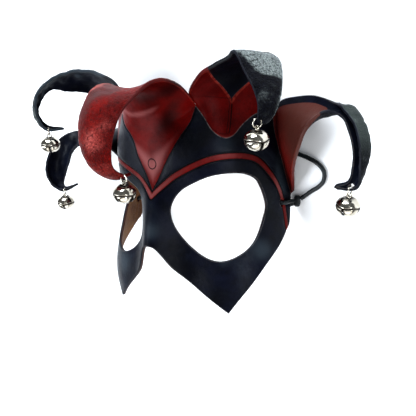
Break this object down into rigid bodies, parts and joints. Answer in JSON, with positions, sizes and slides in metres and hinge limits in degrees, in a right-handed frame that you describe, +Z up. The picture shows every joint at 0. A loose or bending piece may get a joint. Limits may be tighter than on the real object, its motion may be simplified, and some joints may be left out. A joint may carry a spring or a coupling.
{
  "type": "jester mask",
  "caption": "Moulded leather jester half mask with curled horns that end in small round bells, eye holes and a tie cord, lying face up.",
  "frame": {"origin": "under the middle of the leather, on the table it lies on", "axes": "+Z up off the table and out of the face, +Y towards the forehead and horns, +X towards the wearer's left"},
  "size_m": [0.2926, 0.1816, 0.1264],
  "materials": {
    "leather": "black dyed leather with red painted parts, satin",
    "bell_metal": "polished nickel plate",
    "cord": "round black leather lace"
  },
  "bodies": {
    "root": {"mask_leather": "leather", "ring_centre": "bell_metal", "bell_centre": "bell_metal", "ring_inner_left": "bell_metal", "bell_inner_left": "bell_metal", "ring_inner_right": "bell_metal", "bell_inner_right": "bell_metal", "ring_outer_left": "bell_metal", "bell_outer_left": "bell_metal", "ring_outer_right": "bell_metal", "bell_outer_right": "bell_metal", "tie_left": "cord", "tie_right": "cord", "tie_cord": "cord"}
  },
  "joints": []
}
